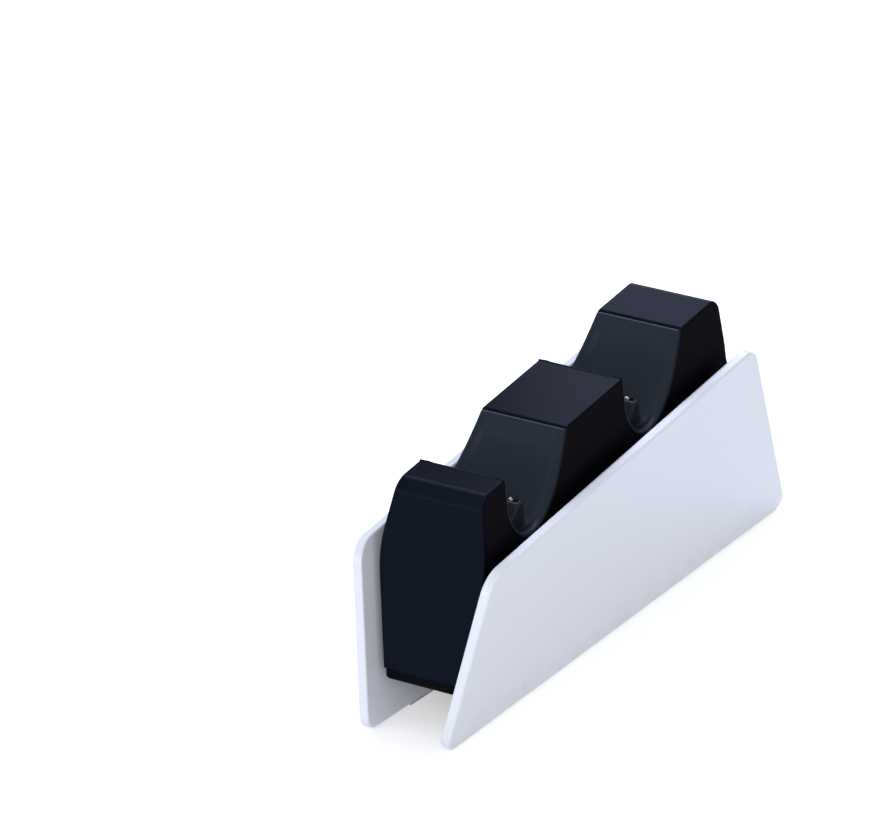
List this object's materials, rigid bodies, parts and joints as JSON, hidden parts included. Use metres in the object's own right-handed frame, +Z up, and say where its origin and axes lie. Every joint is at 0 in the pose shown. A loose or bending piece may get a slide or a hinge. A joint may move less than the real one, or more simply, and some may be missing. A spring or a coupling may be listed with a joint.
{
  "type": "controller charging dock",
  "caption": "Long desk stand that charges gamepads: dark humped body with rounded cradle notches and sprung contacts, held between two leaning white side panels.",
  "frame": {"origin": "on the surface it stands on, under the middle of the whole dock", "axes": "+X to the right seen from the front, +Y from the low front end to the high rear end, +Z up"},
  "size_m": [0.042, 0.175, 0.0762],
  "materials": {
    "body_black": "smooth black moulding",
    "base_black": "fine satin black moulding",
    "panel_white": "satin white moulding",
    "cradle_slate": "satin slate liner",
    "contact_metal": "plated metal",
    "spring_steel": "bright wire",
    "board_green": "coated board",
    "part_black": "matt moulding",
    "connector_white": "natural moulding",
    "lead_black": "soft covering",
    "screw_steel": "plated steel",
    "foot_rubber": "pale matt rubber"
  },
  "bodies": {
    "dock": {"main_housing": "body_black", "base_cover": "base_black", "left_side_panel": "panel_white", "right_side_panel": "panel_white", "front_cradle": "cradle_slate", "rear_cradle": "cradle_slate", "front_contact_block": "part_black", "rear_contact_block": "part_black", "front_contact_board": "board_green", "rear_contact_board": "board_green", "main_board": "board_green", "charge_chip": "part_black", "charge_coil": "part_black", "capacitors": "part_black", "lead_connectors": "connector_white", "front_lead": "lead_black", "rear_lead": "lead_black", "inlet_lead": "lead_black", "power_inlet": "part_black", "inlet_pin": "contact_metal", "inlet_nut": "screw_steel", "base_screws": "screw_steel", "main_board_screws": "screw_steel", "left_panel_screws": "screw_steel", "right_panel_screws": "screw_steel", "front_contact_board_screws": "screw_steel", "rear_contact_board_screws": "screw_steel", "front_left_spring": "spring_steel", "left_front_foot": "foot_rubber", "front_right_spring": "spring_steel", "right_front_foot": "foot_rubber", "rear_left_spring": "spring_steel", "left_rear_foot": "foot_rubber", "rear_right_spring": "spring_steel", "right_rear_foot": "foot_rubber"},
    "front_left_contact": {"front_left_contact": "contact_metal"},
    "front_right_contact": {"front_right_contact": "contact_metal"},
    "rear_left_contact": {"rear_left_contact": "contact_metal"},
    "rear_right_contact": {"rear_right_contact": "contact_metal"}
  },
  "joints": [
    {"name": "front_left_contact_press", "type": "slide", "parent": "dock", "child": "front_left_contact", "axis": [0, 0, -1], "range_m": [0, 0.001], "stiffness_N_per_m": 250, "deforming": ["front_left_spring"]},
    {"name": "front_right_contact_press", "type": "slide", "parent": "dock", "child": "front_right_contact", "axis": [0, 0, -1], "range_m": [0, 0.001], "stiffness_N_per_m": 250, "deforming": ["front_right_spring"]},
    {"name": "rear_left_contact_press", "type": "slide", "parent": "dock", "child": "rear_left_contact", "axis": [0, 0, -1], "range_m": [0, 0.001], "stiffness_N_per_m": 250, "deforming": ["rear_left_spring"]},
    {"name": "rear_right_contact_press", "type": "slide", "parent": "dock", "child": "rear_right_contact", "axis": [0, 0, -1], "range_m": [0, 0.001], "stiffness_N_per_m": 250, "deforming": ["rear_right_spring"]}
  ]
}
